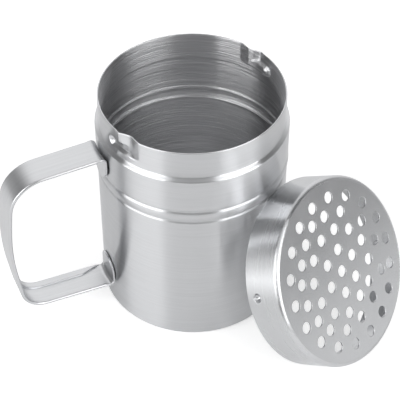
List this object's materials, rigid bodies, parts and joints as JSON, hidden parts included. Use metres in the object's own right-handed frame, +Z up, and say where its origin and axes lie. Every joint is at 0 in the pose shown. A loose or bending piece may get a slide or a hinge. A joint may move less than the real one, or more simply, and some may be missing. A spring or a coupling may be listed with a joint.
{
  "type": "spice shaker",
  "caption": "Stainless steel spice shaker: a round cup with a bent strap handle and a perforated bayonet lid that leans beside it.",
  "frame": {"origin": "middle of the cup's flat base, on the surface that the shaker stands on", "axes": "+Z up along the cup's axis; -X towards the handle; the lid stands on its rim on the +X, -Y side of the cup"},
  "size_m": [0.1398, 0.1133, 0.0913],
  "materials": {
    "cup_steel": "fine brushed, drawn stainless steel, brushed round the cup",
    "handle_steel": "satin stainless strap, brushed along its length",
    "lid_steel": "satin stainless steel, skirt brushed round, bright rolled edge"
  },
  "bodies": {
    "cup": {"cup_body": "cup_steel", "strap_handle": "handle_steel"},
    "lid": {"perforated_lid": "lid_steel"}
  },
  "joints": [
    {"name": "lid_lift", "type": "slide", "parent": "cup", "child": "lid", "axis": [0.4321, -0.7424, 0.512], "range_m": [0, 0.12]}
  ]
}
